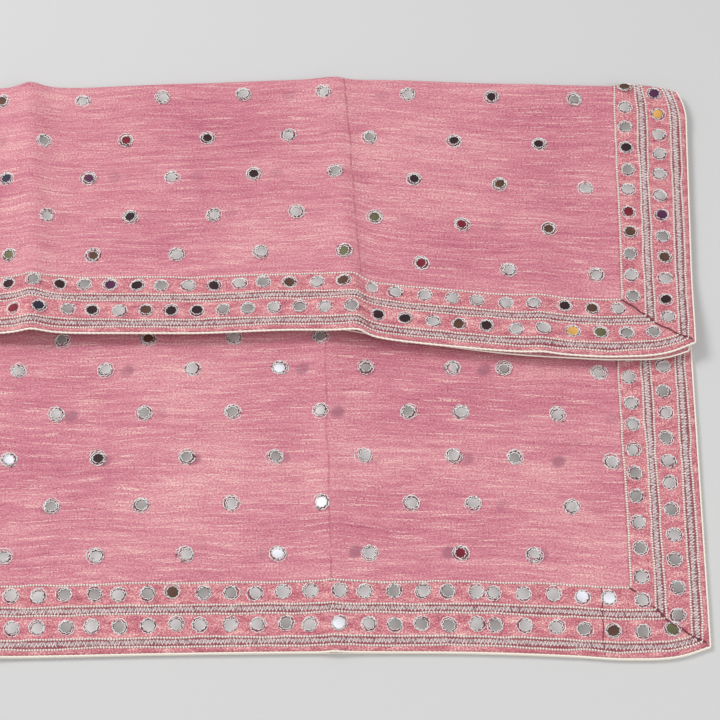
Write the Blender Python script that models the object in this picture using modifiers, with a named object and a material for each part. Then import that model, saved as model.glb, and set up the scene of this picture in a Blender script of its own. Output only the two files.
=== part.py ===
"""Dupatta stole with mirror-work borders, folded flat.

One cloth, 2.44 m by 0.88 m, is folded in half along its length, right side out. The pair of layers is
then folded forward along the far edge, so that a short flap lies on a deeper panel. Metres, +Z up: +X runs
along the folded length to the cut ends, -X ends in the halfway fold, +Y ends in the long fold, and the
cloth rests on z = 0. A piece is cut flat, in distances from the cut end and from the hem, and then laid.
"""

import math

import bmesh
import bpy
import numpy as np
from mathutils import Vector
from mathutils.geometry import delaunay_2d_cdt

MM = 0.001

# Cloth and trim
WALL = 1.2 * MM
SEAM_GAP = 0.35 * MM
LAYER_GAP = WALL + SEAM_GAP
BORDER_WIDTH = 64 * MM
BORDER_WALL = 1.0 * MM
BORDER_LIFT = BORDER_WALL + SEAM_GAP
CORD_RADIUS = 1.0 * MM
CORD_LIFT = CORD_RADIUS - WALL
UNDER_CORD_RADIUS = 0.8 * MM
EDGE_INSET = 2 * CORD_RADIUS + SEAM_GAP
CORNER_ARC = 1.6 * MM
LIP = 0.5 * MM

# Folded stole
END_X = 594 * MM
HALF_FOLD_X = -613 * MM
FLAP_FLAT = 285 * MM
PANEL_DEPTH = 325 * MM

# Heights of the outer faces above the surface that the stole rests on
PANEL_TOP = 3.2 * MM
FLAP_TOP = 6.8 * MM
FLAP_HEM_RISE = 9.0 * MM
HEM_RISE_RUN = 85 * MM
ROLL_RADIUS = 5.0 * MM
ROLL_RISE_RUN = 50 * MM
ROLL_TRIM_TURN = math.radians(120)
CORNER_PULL = 12 * MM
CORNER_RUN = 32 * MM
TUCK = 20 * MM
HALF_FOLD_RADIUS = PANEL_TOP / 2
HALF_FOLD_RISE = 0.4 * MM
HALF_FOLD_RUN = 60 * MM
CREASE_FADE = 30 * MM

# The laid outline, in millimetres: where the hems and the long fold lie at each place along the stole, how far
# the flap's hem and the cloth at the long fold are shifted to +X, and the panel's far edge likewise.
OUTLINE_COLUMNS = ("x", "panel_hem", "flap_hem", "fold", "fold_shift", "hem_shift", "panel_shift")
OUTLINE = (
    (-613, -292, 6.5, 289, 0, 0, 0),
    (-450, -294, 4.5, 293, -6, 0, -4),
    (-300, -293, 7.5, 288, -12, 0, -8),
    (-150, -295, 4.5, 292, -18, 0, -12),
    (0, -295.5, 6.5, 286, -25, 0, -14),
    (150, -292.5, 6.5, 292, -25, 0, -12),
    (290, -291, 7.5, 298, -25, 0, -10),
    (330, -291, 0.5, 298, -17, 0, -7),
    (400, -291.5, -8.5, 295, -2, 2, -3),
    (480, -294.5, -15.5, 291, 11, 6, 2),
    (525, -297, -17.5, 290, 18, 9, 4),
    (570, -294, -12.5, 289, 22, 10, 6),
    (594, -286, -2.5, 283, 24.5, 9.5, 8.5),
)

# Creases set by packing, in millimetres: place along the stole, height at the hem and at the far edge, and
# how far each flank reaches.
FLAP_CREASES = (
    (-306, 6.0, 7.5, 34, 28),
    (13, 8.0, 9.0, 28, 30),
    (304, 9.0, 4.0, 36, 16),
    (462, 3.5, 0.5, 26, 24),
)
PANEL_CREASES = (
    (-306, 1.6, 2.4, 22, 26),
    (0, 1.6, 1.2, 24, 24),
    (283, 2.4, 3.4, 12, 26),
)
NEAREST_STATIONS = 11 * MM
NEAREST_OUTLINE_STATIONS = 32 * MM

# How far the under layer's flap lies back from the outer flap's hem, in millimetres; less than none shows.
UNDER_LAG_COLUMNS = ("x", "lag")
UNDER_LAG = ((-613, 4.0), (340, 3.4), (430, -0.6), (540, -1.6), (594, -4.5))
UNDER_END_BACK = 6 * MM
UNDER_END_RUN = 22 * MM

COLOURS = {
    "tissue_cloth": (0.66, 0.29, 0.33),
    "border_ribbon": (0.55, 0.24, 0.26),
    "edge_cord": (0.86, 0.80, 0.70),
    "under_cloth": (0.58, 0.25, 0.29),
}


def smooth(share):
    """0 to 1 with level ends, for a share held between 0 and 1."""
    held = min(max(share, 0.0), 1.0)
    return held * held * (3 - 2 * held)


def curve_through(table, names, column):
    """A smooth function of x, in metres, through one named column of a table in millimetres."""
    places = np.array([row[0] for row in table], float) * MM
    values = np.array([row[names.index(column)] for row in table], float) * MM
    slopes = np.gradient(values, places)

    def value(x):
        held = min(max(x, places[0]), places[-1])
        i = min(int(np.searchsorted(places, held, side="right")) - 1, len(places) - 2)
        run = places[i + 1] - places[i]
        u = (held - places[i]) / run
        start = (1 + 2 * u) * (1 - u) ** 2 * values[i] + u * (1 - u) ** 2 * run * slopes[i]
        end = u * u * (3 - 2 * u) * values[i + 1] - u * u * (1 - u) * run * slopes[i + 1]
        return float(start + end)

    return value


panel_hem, flap_hem, fold, fold_shift, hem_shift, panel_shift = (
    curve_through(OUTLINE, OUTLINE_COLUMNS, name) for name in OUTLINE_COLUMNS[1:]
)
under_lag = curve_through(UNDER_LAG, UNDER_LAG_COLUMNS, "lag")


def crease_height(creases, x, share):
    """Height that the creases add at x, share of the way from the hem to the far edge: one soft tent each."""
    total = 0.0
    for place, hem_height, far_height, left_reach, right_reach in creases:
        away = x - place * MM
        reach = (left_reach if away < 0 else right_reach) * MM
        tent = math.exp(1 - math.sqrt(1 + (3 * away / reach) ** 2))
        total += (hem_height + (far_height - hem_height) * share) * MM * tent
    return total


def across(s, lift):
    """Place along the stole, and height above the outer face, of cloth at s from the cut end: flat, then
    round the halfway fold."""
    flat = END_X - HALF_FOLD_X - HALF_FOLD_RADIUS
    if s <= flat:
        return END_X - s, lift
    turn = (s - flat) / HALF_FOLD_RADIUS
    out = HALF_FOLD_RADIUS + lift
    return HALF_FOLD_X + HALF_FOLD_RADIUS - out * math.sin(turn), out * math.cos(turn) - HALF_FOLD_RADIUS


def corner_pull(s):
    """How far the end's corner is drawn in where it rolls over the long fold, which rounds it."""
    return CORNER_PULL * (1 - smooth(s / BORDER_WIDTH))


def flap_depth(x):
    """Depth of the flap's flat part, from its hem to where the long fold begins to roll."""
    return fold(x) - ROLL_RADIUS - flap_hem(x)


def flap_height(x, t, creased):
    """Height of the flap's outer face at x and t from its hem: low in the field, up at the hem and the folds."""
    flat = flap_depth(x)
    height = FLAP_TOP + FLAP_HEM_RISE * (1 - smooth(t / HEM_RISE_RUN))
    rolled = smooth((t - flat + ROLL_RISE_RUN) / ROLL_RISE_RUN)
    height += (2 * ROLL_RADIUS - height) * rolled
    height += HALF_FOLD_RISE * (1 - smooth((x - HALF_FOLD_X) / HALF_FOLD_RUN)) * (1 - rolled)
    return height + (crease_height(FLAP_CREASES, x, min(t / flat, 1.0)) if creased else 0.0)


def panel_height(x, t):
    """Height of the panel's outer face at x and t from its hem, level once it is well under the flap."""
    shown = 1 - smooth((t - PANEL_DEPTH + 1.5 * CREASE_FADE) / CREASE_FADE)
    return PANEL_TOP + crease_height(PANEL_CREASES, x, min(t / PANEL_DEPTH, 1.0)) * shown


def raised_point(x, y, height, raised):
    """The point raised from a face at y, square to its slope there; height gives the face's height at y."""
    step = 1 * MM
    slope = (height(y + step) - height(y - step)) / (2 * step)
    length = math.hypot(1.0, slope)
    return x, y - slope / length * raised, height(y) + raised / length


def lay_flap(s, row, lift=0.0, creased=True):
    """Where the flap's cloth lies, at s from the cut end; its field's rows stretch to reach the long fold."""
    x, raised = across(s, lift)
    flat = flap_depth(x)
    hem = flap_hem(x)
    if row <= BORDER_WIDTH:
        t = row
    elif row <= FLAP_FLAT:
        t = BORDER_WIDTH + (row - BORDER_WIDTH) * (flat - BORDER_WIDTH) / (FLAP_FLAT - BORDER_WIDTH)
    else:
        t = flat + row - FLAP_FLAT
    leaning = x + hem_shift(x) + (fold_shift(x) - hem_shift(x)) * min(t / flat, 1.0)
    rounded = (t - flat + CORNER_RUN) / (CORNER_RUN + ROLL_RADIUS * math.pi / 2)
    leaning -= corner_pull(s) * min(max(rounded, 0.0), 1.0) ** 2
    if row <= FLAP_FLAT:
        return raised_point(leaning, hem + t, lambda y: flap_height(x, y - hem, creased), raised)
    turn = min((t - flat) / ROLL_RADIUS, math.pi)
    tucked = max(t - flat - math.pi * ROLL_RADIUS, 0.0)
    crease = crease_height(FLAP_CREASES, x, 1.0) * math.cos(turn / 2) ** 2 if creased else 0.0
    out = ROLL_RADIUS + raised + crease
    y = hem + flat + out * math.sin(turn) - tucked
    return leaning, y, ROLL_RADIUS + out * math.cos(turn)


def lay_under_flap(s, row, lift=0.0):
    """Where the under layer's flap lies: against the outer flap, without its creases, its hem at its own lag
    and its end a little back."""
    x, _ = across(s, 0.0)
    lagging = row + under_lag(x) * (1 - smooth(row / BORDER_WIDTH))
    back = UNDER_END_BACK * (1 - smooth(s / BORDER_WIDTH)) * (1 - smooth(row / UNDER_END_RUN))
    return lay_flap(s + back, lagging, lift - LAYER_GAP, creased=False)


def lay_panel(s, t, lift=0.0):
    """Where the panel's cloth lies, at s from the cut end and t from its hem."""
    x, raised = across(s, lift)
    hem = panel_hem(x)
    leaning = x + panel_shift(x) * min(t / PANEL_DEPTH, 1.0)
    return raised_point(leaning, hem + t, lambda y: panel_height(x, y - hem), raised)


def lay_base(s, t, lift=0.0):
    """Where the under layer's panel lies: flat on the surface, straight under the panel."""
    x, y, _ = lay_panel(s, t)
    return x, y, lift


def between(start, end, steps):
    """Evenly spaced places from start to end, both of them included."""
    return [start + (end - start) * i / steps for i in range(steps + 1)]


def stations():
    """Distances from the cut end at which the cloth is cut into columns: at border, creases and flanks."""
    length = END_X - HALF_FOLD_X
    kept = between(EDGE_INSET, BORDER_WIDTH, 3) + [length - HALF_FOLD_RUN]
    wanted = []
    for place, _, _, left_reach, right_reach in FLAP_CREASES + PANEL_CREASES:
        offsets = (0, -left_reach / 3, right_reach / 3, -left_reach, right_reach)
        wanted += [(END_X - (place + offset) * MM, NEAREST_STATIONS) for offset in offsets]
    wanted += [(END_X - row[0] * MM, NEAREST_OUTLINE_STATIONS) for row in OUTLINE[1:-1]]
    for s, nearest in wanted:
        if all(abs(s - other) > nearest for other in kept):
            kept.append(s)
    return sorted(kept)


def material(name):
    """A Principled material in one of the stole's own colours."""
    made = bpy.data.materials.new(name)
    made.use_nodes = True
    shader = made.node_tree.nodes["Principled BSDF"]
    shader.inputs["Base Color"].default_value = (*COLOURS[name], 1.0)
    shader.inputs["Roughness"].default_value = 0.5
    return made


def add_piece(name, data, finish):
    """A named piece in the scene, in its material."""
    data.materials.append(finish)
    piece = bpy.data.objects.new(name, data)
    collection.objects.link(piece)
    return piece


def add_sheet(name, columns, rows, lay, thickness, finish, side=0):
    """A piece cut flat on columns and rows, laid, and thickened inwards.

    A border's corner is mitred first: side 1 keeps what is nearer the hem than the cut end, side -1 the rest.
    """
    form = bmesh.new()
    bmesh.ops.create_grid(form, x_segments=len(columns) - 1, y_segments=len(rows) - 1, size=1)
    for vertex in form.verts:
        column = round((1 - vertex.co.x) / 2 * (len(columns) - 1))
        row = round((vertex.co.y + 1) / 2 * (len(rows) - 1))
        vertex.co = (columns[column], rows[row], 0)
    if side:
        bmesh.ops.bisect_plane(
            form,
            geom=form.verts[:] + form.edges[:] + form.faces[:],
            dist=0.01 * MM,
            plane_co=(side * SEAM_GAP / 2, 0, 0),
            plane_no=(-side, side, 0),
            clear_outer=True,
        )
    for vertex in form.verts:
        vertex.co = lay(vertex.co.x, vertex.co.y)
    mesh = bpy.data.meshes.new(name)
    form.to_mesh(mesh)
    form.free()
    piece = add_piece(name, mesh, finish)
    wall = piece.modifiers.new("wall", "SOLIDIFY")
    wall.thickness = thickness
    wall.offset = -1
    wall.use_even_offset = True


def add_cord(name, columns, rows, lay, radius, lift, finish):
    """A cord along the hem to the cut end, round the corner, and along the cut end."""
    route = [lay(s, radius, lift) for s in reversed(columns) if s > radius + CORNER_ARC]
    for share in (0.0, 0.5, 1.0):
        angle = share * math.pi / 2
        s = radius + CORNER_ARC * (1 - math.sin(angle))
        t = radius + CORNER_ARC * (1 - math.cos(angle))
        route.append(lay(s, t, lift))
    route += [lay(radius, t, lift) for t in rows if t > radius + CORNER_ARC]
    curve = bpy.data.curves.new(name, "CURVE")
    curve.dimensions = "3D"
    curve.bevel_depth = radius
    curve.bevel_resolution = 2
    curve.use_fill_caps = True
    spline = curve.splines.new("POLY")
    spline.points.add(len(route) - 1)
    for point, place in zip(spline.points, route):
        point.co = (*place, 1.0)
    add_piece(name, curve, finish)


def hidden_section(s):
    """One closed outline of the hidden layers at s: along the floor from the near hem, round the long fold and
    back over the panel, leaving a slot for the panel's cloth."""
    x, _ = across(s, 0.0)
    inner_radius = ROLL_RADIUS - LAYER_GAP
    roll_centre = fold(x) - ROLL_RADIUS
    tuck_end = roll_centre - TUCK - SEAM_GAP
    slot_end = PANEL_DEPTH + 2 * WALL
    slot_row = panel_hem(x) + slot_end - flap_hem(x)
    filled_rows = [row for row in flap_rows if HEM_RISE_RUN <= row < FLAP_FLAT - TUCK - WALL]
    leaning = x + fold_shift(x) - corner_pull(s)
    slab_rows = [t for t in panel_rows if t < PANEL_DEPTH] + [slot_end]
    ceiling = -(FLAP_TOP - PANEL_TOP - SEAM_GAP) + LAYER_GAP

    outline = [lay_base(s, t) for t in slab_rows]
    outline += [(*lay_flap(s, row)[:2], 0.0) for row in filled_rows]
    outline.append((leaning, tuck_end, 0.0))
    outline.append((leaning, tuck_end, ROLL_RADIUS - inner_radius))
    for turn in between(math.pi, 0, 6):
        y = roll_centre + inner_radius * math.sin(turn)
        outline.append((leaning, y, ROLL_RADIUS + inner_radius * math.cos(turn)))
    outline += [lay_under_flap(s, row) for row in reversed(flap_rows) if row < FLAP_FLAT]
    outline.append(lay_under_flap(s, EDGE_INSET - LIP, ceiling / 2))
    outline += [lay_under_flap(s, row, ceiling) for row in (EDGE_INSET, border_rows[1], slot_row)]
    outline += [lay_panel(s, t, -LAYER_GAP) for t in reversed(slab_rows)]
    outline.append(lay_base(s, EDGE_INSET - LIP, (PANEL_TOP - LAYER_GAP) / 2))
    return outline


def add_hidden_layers(name, columns, finish):
    """The layers out of sight, as one solid: the same outline at every column, joined, with filled ends."""
    form = bmesh.new()
    sections = [hidden_section(s) for s in columns]
    rings = [[form.verts.new(place) for place in section] for section in sections]
    count = len(rings[0])
    for ring, following in zip(rings, rings[1:]):
        for i in range(count):
            after = (i + 1) % count
            form.faces.new((ring[i], ring[after], following[after], following[i]))
    for ring, section in ((rings[0], sections[0]), (rings[-1], sections[-1])):
        flat = [Vector((y / MM, z / MM)) for _, y, z in section]
        _, _, triangles, sources, _, _ = delaunay_2d_cdt(flat, [], [list(range(count))], 1, SEAM_GAP)
        for triangle in triangles:
            form.faces.new([ring[sources[corner][0]] for corner in triangle])
    bmesh.ops.recalc_face_normals(form, faces=form.faces)
    mesh = bpy.data.meshes.new(name)
    form.to_mesh(mesh)
    form.free()
    add_piece(name, mesh, finish)


for old in list(bpy.data.objects):
    bpy.data.objects.remove(old)
collection = bpy.data.collections.new("dupatta_stole")
bpy.context.scene.collection.children.link(collection)

cloth = material("tissue_cloth")
ribbon = material("border_ribbon")
cord = material("edge_cord")
under_cloth = material("under_cloth")

flat_length = END_X - HALF_FOLD_X - HALF_FOLD_RADIUS
half_turn = math.pi * HALF_FOLD_RADIUS
body_columns = stations()
cloth_columns = body_columns + between(flat_length, flat_length + half_turn, 4)
trim_columns = body_columns + between(flat_length, flat_length + half_turn / 2, 2)
hidden_columns = body_columns + [flat_length - HALF_FOLD_RADIUS]
end_columns = [s for s in body_columns if s <= BORDER_WIDTH]

border_rows = between(EDGE_INSET, BORDER_WIDTH, 3)
panel_rows = border_rows + between(BORDER_WIDTH, PANEL_DEPTH - 2 * CREASE_FADE, 3)[1:]
panel_rows += between(PANEL_DEPTH - 2 * CREASE_FADE, PANEL_DEPTH, 3)[1:]
flap_rows = border_rows + between(HEM_RISE_RUN, FLAP_FLAT - ROLL_RISE_RUN, 3)
flap_rows += between(FLAP_FLAT - ROLL_RISE_RUN, FLAP_FLAT, 4)[1:]
roll_rows = [FLAP_FLAT + turn * ROLL_RADIUS for turn in between(0, math.pi, 6)[1:]]
trim_roll_rows = [row for row in roll_rows if row <= FLAP_FLAT + ROLL_TRIM_TURN * ROLL_RADIUS + SEAM_GAP]
cloth_rows = flap_rows + roll_rows + [roll_rows[-1] + TUCK]

add_hidden_layers("hidden_layers", hidden_columns, under_cloth)
add_sheet("panel_cloth", cloth_columns, panel_rows, lay_panel, WALL, cloth)
add_sheet("flap_cloth", cloth_columns, cloth_rows, lay_flap, WALL, cloth)


def lay_panel_border(s, t):
    """The panel's border, from the panel's own points moved out."""
    return lay_panel(s, t, BORDER_LIFT)


def lay_flap_border(s, t):
    """The flap's border, from the flap's own points moved out."""
    return lay_flap(s, t, BORDER_LIFT)


add_sheet("panel_hem_border", trim_columns, border_rows, lay_panel_border, BORDER_WALL, ribbon, side=1)
add_sheet("panel_end_border", end_columns, panel_rows, lay_panel_border, BORDER_WALL, ribbon, side=-1)
add_sheet("flap_hem_border", trim_columns, border_rows, lay_flap_border, BORDER_WALL, ribbon, side=1)
add_sheet(
    "flap_end_border", end_columns, flap_rows + trim_roll_rows, lay_flap_border, BORDER_WALL, ribbon, side=-1
)

under_lift = -UNDER_CORD_RADIUS
floor_lift = UNDER_CORD_RADIUS + 0.02 * MM
add_cord("panel_cord", trim_columns, panel_rows, lay_panel, CORD_RADIUS, CORD_LIFT, cord)
add_cord("flap_cord", trim_columns, flap_rows + trim_roll_rows, lay_flap, CORD_RADIUS, CORD_LIFT, cord)
add_cord("under_flap_cord", hidden_columns, flap_rows, lay_under_flap, UNDER_CORD_RADIUS, under_lift, cord)
add_cord("under_panel_cord", hidden_columns, panel_rows, lay_base, UNDER_CORD_RADIUS, floor_lift, cord)
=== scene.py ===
"""Looks of a dupatta stole folded flat: crushed pink tissue silk, mirror work and corded borders."""

import math

import bpy
import numpy as np
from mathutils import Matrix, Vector


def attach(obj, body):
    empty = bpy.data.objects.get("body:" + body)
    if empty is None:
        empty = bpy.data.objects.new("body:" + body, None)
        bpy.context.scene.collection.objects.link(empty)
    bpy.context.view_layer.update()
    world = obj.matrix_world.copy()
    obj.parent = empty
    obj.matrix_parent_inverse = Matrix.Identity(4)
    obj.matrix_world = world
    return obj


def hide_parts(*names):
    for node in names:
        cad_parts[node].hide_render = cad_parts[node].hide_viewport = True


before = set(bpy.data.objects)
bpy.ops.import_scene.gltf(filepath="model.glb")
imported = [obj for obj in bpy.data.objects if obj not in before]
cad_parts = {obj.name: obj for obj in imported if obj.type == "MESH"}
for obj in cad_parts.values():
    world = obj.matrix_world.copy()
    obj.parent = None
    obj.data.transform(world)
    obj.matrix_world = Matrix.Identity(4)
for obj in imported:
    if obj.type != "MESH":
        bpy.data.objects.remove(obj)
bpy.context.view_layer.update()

# ---- Silk cloth ----
# One length of crushed tissue silk, 2.44 m by 0.88 m, folded in half along its length with its right side
# out, and the pair of layers folded forward at the far edge. The outer half makes the flap, goes round the
# long fold and lies underneath; the inner half makes the panel and goes up inside the fold.
MM = 0.001
CUT_WIDTH = 0.88
BORDER = 64 * MM
END_X = 594 * MM
HALF_FOLD_X = -613 * MM
FOLD_R = 1.6 * MM
LAYER_GAP = 2 * FOLD_R
FLAT_LENGTH = END_X - HALF_FOLD_X - FOLD_R
FLAP_FLAT = 285 * MM
PANEL_DEPTH = 325 * MM
FLAP_TOP = 6.8 * MM
FLAP_HEM_RISE = 9.0 * MM
HEM_RISE_RUN = 85 * MM
ROLL_R = 5.0 * MM
ROLL_RISE_RUN = 50 * MM
CORNER_PULL = 12 * MM
CORNER_RUN = 32 * MM
HALF_FOLD_RISE = 0.4 * MM
HALF_FOLD_RUN = 60 * MM
CREASE_FADE = 30 * MM
FLOOR_CLEAR = 0.3 * MM
SILK_WALL = 0.3 * MM

# Laid outline in millimetres: x, panel hem, flap hem, long fold, then shifts to +X of the cloth at the long
# fold, at the flap's hem and at the panel's far edge.
OUTLINE = np.array((
    (-613, -292, 6.5, 289, 0, 0, 0),
    (-450, -294, 4.5, 293, -6, 0, -4),
    (-300, -293, 7.5, 288, -12, 0, -8),
    (-150, -295, 4.5, 292, -18, 0, -12),
    (0, -295.5, 6.5, 286, -25, 0, -14),
    (150, -292.5, 6.5, 292, -25, 0, -12),
    (290, -291, 7.5, 298, -25, 0, -10),
    (330, -291, 0.5, 298, -17, 0, -7),
    (400, -291.5, -8.5, 295, -2, 2, -3),
    (480, -294.5, -15.5, 291, 11, 6, 2),
    (525, -297, -17.5, 290, 18, 9, 4),
    (570, -294, -12.5, 289, 22, 10, 6),
    (594, -286, -2.5, 283, 24.5, 9.5, 8.5),
)) * MM
# Creases in millimetres: place, height at the hem and at the far edge, reach to the left and to the right.
FLAP_CREASES = np.array((
    (-306, 6.0, 7.5, 34, 28),
    (13, 8.0, 9.0, 28, 30),
    (304, 9.0, 4.0, 36, 16),
    (462, 3.5, 0.5, 26, 24),
)) * MM
PANEL_CREASES = np.array((
    (-306, 1.6, 2.4, 22, 26),
    (0, 1.6, 1.2, 24, 24),
    (283, 2.4, 3.4, 12, 26),
)) * MM
# How far the inner half's flap lies back from the outer flap's hem; less than none shows.
UNDER_LAG = np.array(((-613, 4.0), (340, 3.4), (430, -0.6), (540, -1.6), (594, -4.5))) * MM
UNDER_END_BACK = 6 * MM
UNDER_END_RUN = 22 * MM
# Crinkles: height in millimetres, then length along the stole and width across it.
CRINKLES = ((0.42, 60 * MM, 8.5 * MM), (0.30, 34 * MM, 4.6 * MM), (0.55, 120 * MM, 36 * MM))
CRINKLE_WANDER = 6 * MM
BORDER_CRINKLE_SHARE = 0.22


def smooth(share):
    """0 to 1 with level ends."""
    held = np.clip(share, 0, 1)
    return held * held * (3 - 2 * held)


def through(table, column):
    """A smooth curve through a table's column, over its first column: cubics that share their slopes."""
    places, values = table[:, 0], table[:, column]
    slopes = np.gradient(values, places)

    def value(x):
        held = np.clip(x, places[0], places[-1])
        i = np.clip(np.searchsorted(places, held, side="right") - 1, 0, len(places) - 2)
        run = places[i + 1] - places[i]
        u = (held - places[i]) / run
        start = (1 + 2 * u) * (1 - u) ** 2 * values[i] + u * (1 - u) ** 2 * run * slopes[i]
        return start + u * u * (3 - 2 * u) * values[i + 1] - u * u * (1 - u) * run * slopes[i + 1]

    return value


panel_hem, flap_hem, fold, fold_shift, hem_shift, panel_shift = (through(OUTLINE, i) for i in range(1, 7))
under_lag = through(UNDER_LAG, 1)


def noise(u, v, seed):
    """Smooth random field, about -1 to 1, one random value per whole step, blended between steps."""
    table = np.random.default_rng(seed).uniform(-1, 1, (256, 256))
    iu, iv = np.floor(u).astype(int), np.floor(v).astype(int)
    fu, fv = smooth(u - iu), smooth(v - iv)
    near = table[iu % 256, iv % 256] * (1 - fu) + table[(iu + 1) % 256, iv % 256] * fu
    far = table[iu % 256, (iv + 1) % 256] * (1 - fu) + table[(iu + 1) % 256, (iv + 1) % 256] * fu
    return near * (1 - fv) + far * fv


def crinkle(s, t, seed):
    """Height of the crushed silk's crinkles: long soft streaks along the stole, weaker under the borders."""
    u = s + CRINKLE_WANDER * noise(s / (70 * MM), t / (25 * MM), seed)
    height = 0.0
    for number, (rise, length, width) in enumerate(CRINKLES, 1):
        height = height + rise * noise(u / length, t / width, seed + number)
    inside = smooth((np.minimum(s, t) - 60 * MM) / (14 * MM))
    return height * MM * (BORDER_CRINKLE_SHARE + (1 - BORDER_CRINKLE_SHARE) * inside)


def crease_height(creases, x, share):
    """Height the creases add: a soft tent each, from its hem height to its far height."""
    total = np.zeros(np.broadcast(x, share).shape)
    for place, hem_height, far_height, left, right in creases:
        away = x - place
        reach = np.where(away < 0, left, right)
        total = total + (hem_height + (far_height - hem_height) * share) * np.exp(
            1 - np.sqrt(1 + (3 * away / reach) ** 2)
        )
    return total


def across(s, lift):
    """Place along the stole and height over the outer half's face: flat, then round the halfway fold."""
    turn = np.maximum(s - FLAT_LENGTH, 0) / FOLD_R
    out = FOLD_R + lift
    x = np.where(turn > 0, HALF_FOLD_X + FOLD_R - out * np.sin(turn), END_X - s)
    return x, out * np.cos(turn) - FOLD_R


def corner_pull(s):
    """How far the end's corner is drawn in where it rolls over the long fold, which rounds it."""
    return CORNER_PULL * (1 - smooth(s / BORDER))


def flap_height(x, t, flat):
    """Height of the flap's face without its creases: low in the field, up at the hem and the long fold."""
    height = FLAP_TOP + FLAP_HEM_RISE * (1 - smooth(t / HEM_RISE_RUN))
    rolled = smooth((t - flat + ROLL_RISE_RUN) / ROLL_RISE_RUN)
    height = height + (2 * ROLL_R - height) * rolled
    return height + HALF_FOLD_RISE * (1 - smooth((x - HALF_FOLD_X) / HALF_FOLD_RUN)) * (1 - rolled)


def lay_flap(s, row, lift=0.0, inner=False):
    """Points of the flap and of the long fold: flat from the hem, then round a half circle.

    The inner half lies one layer gap under the outer one, with its right side down.
    """
    s, row = np.broadcast_arrays(np.asarray(s, float), np.asarray(row, float))
    if inner:
        s = s + UNDER_END_BACK * (1 - smooth(s / BORDER)) * (1 - smooth(row / UNDER_END_RUN))
    x, raised = across(s, lift)
    if inner:
        raised = -LAYER_GAP - raised
        row = row + under_lag(x) * (1 - smooth(row / BORDER))
    hem = flap_hem(x)
    flat = fold(x) - ROLL_R - hem
    stretched = BORDER + (row - BORDER) * (flat - BORDER) / (FLAP_FLAT - BORDER)
    t = np.where(row <= BORDER, row, np.where(row <= FLAP_FLAT, stretched, flat + row - FLAP_FLAT))
    shift = hem_shift(x) + (fold_shift(x) - hem_shift(x)) * np.clip(t / flat, 0, 1)
    rounded = (t - flat + CORNER_RUN) / (CORNER_RUN + ROLL_R * math.pi / 2)
    shift = shift - corner_pull(s) * np.clip(rounded, 0, 1) ** 2
    turn = np.clip((t - flat) / ROLL_R, 0, math.pi)
    if not inner:
        crease = crease_height(FLAP_CREASES, x, np.clip(t / flat, 0, 1)) * np.cos(turn / 2) ** 2
        raised = raised + crease + crinkle(s, row, 11) * np.cos(turn / 2) ** 2
    step = 1 * MM
    slope = (flap_height(x, t + step, flat) - flap_height(x, t - step, flat)) / (2 * step)
    length = np.hypot(1, slope)
    flat_y = hem + t - slope / length * raised
    flat_z = flap_height(x, t, flat) + raised / length
    out = ROLL_R + raised
    round_y = hem + flat + out * np.sin(turn)
    round_z = ROLL_R + out * np.cos(turn)
    rolled = t > flat
    return np.stack([x + shift, np.where(rolled, round_y, flat_y), np.where(rolled, round_z, flat_z)], -1)


def lay_panel(s, t, lift=0.0, inner=True):
    """Points of the panel, from its hem to the long fold's roll: the inner half on top, the outer below."""
    s, t = np.broadcast_arrays(np.asarray(s, float), np.asarray(t, float))
    x, raised = across(s, lift)
    hem = panel_hem(x)
    back = fold(x) - ROLL_R - hem
    beyond = smooth((t - PANEL_DEPTH) / (back - PANEL_DEPTH))
    near_shift = panel_shift(x) * np.clip(t / PANEL_DEPTH, 0, 1)
    shift = near_shift + (fold_shift(x) - corner_pull(s) - near_shift) * beyond
    if not inner:
        return np.stack([x + shift, hem + t, FLOOR_CLEAR * (1 - beyond) - raised], -1)
    shown = 1 - smooth((t - PANEL_DEPTH + 1.5 * CREASE_FADE) / CREASE_FADE)
    crease = crease_height(PANEL_CREASES, x, np.clip(t / PANEL_DEPTH, 0, 1)) * shown
    z = LAYER_GAP + raised + crease + crinkle(s, t, 31) * shown
    return np.stack([x + shift, hem + t, z], -1)


def add_mesh(name, points, faces, finish, uv=None):
    """A smooth-shaded piece from points and faces, with the cut's own distances as its UV map."""
    mesh = bpy.data.meshes.new(name)
    mesh.from_pydata(points.reshape(-1, 3), [], faces)
    mesh.shade_smooth()
    if uv is not None:
        corners = np.empty(len(mesh.loops), np.int32)
        mesh.loops.foreach_get("vertex_index", corners)
        layer = mesh.uv_layers.new(name="cut")
        layer.data.foreach_set("uv", uv.reshape(-1, 2)[corners].astype(np.float32).ravel())
    mesh.materials.append(finish)
    piece = bpy.data.objects.new(name, mesh)
    bpy.context.scene.collection.objects.link(piece)
    return piece


def grid_faces(rows, columns, flip=False):
    """Quads of a grid of points stored row by row."""
    start = (np.arange(rows - 1)[:, None] * columns + np.arange(columns - 1)).ravel()
    quads = np.stack([start, start + 1, start + columns + 1, start + columns], 1)
    return quads[:, ::-1] if flip else quads


def thicken(piece, wall):
    """Gives a sheet its thickness, inwards from its right side."""
    solid = piece.modifiers.new("wall", "SOLIDIFY")
    solid.thickness = wall
    solid.offset = -1


def spread(*stretches):
    """Places in order over stretches given as (start, end, nearest step)."""
    found = [np.array([stretches[0][0]])]
    for start, end, step in stretches:
        found.append(np.linspace(start, end, max(2, round((end - start) / step) + 1))[1:])
    return np.concatenate(found)


def node(tree, kind, inputs=None, **settings):
    """A shader node with its settings, its inputs given as constants or as other nodes' outputs."""
    made = tree.nodes.new(kind)
    for name, value in settings.items():
        setattr(made, name, value)
    for name, value in (inputs or {}).items():
        if isinstance(value, bpy.types.NodeSocket):
            tree.links.new(value, made.inputs[name])
        else:
            made.inputs[name].default_value = value
    return made


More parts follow.
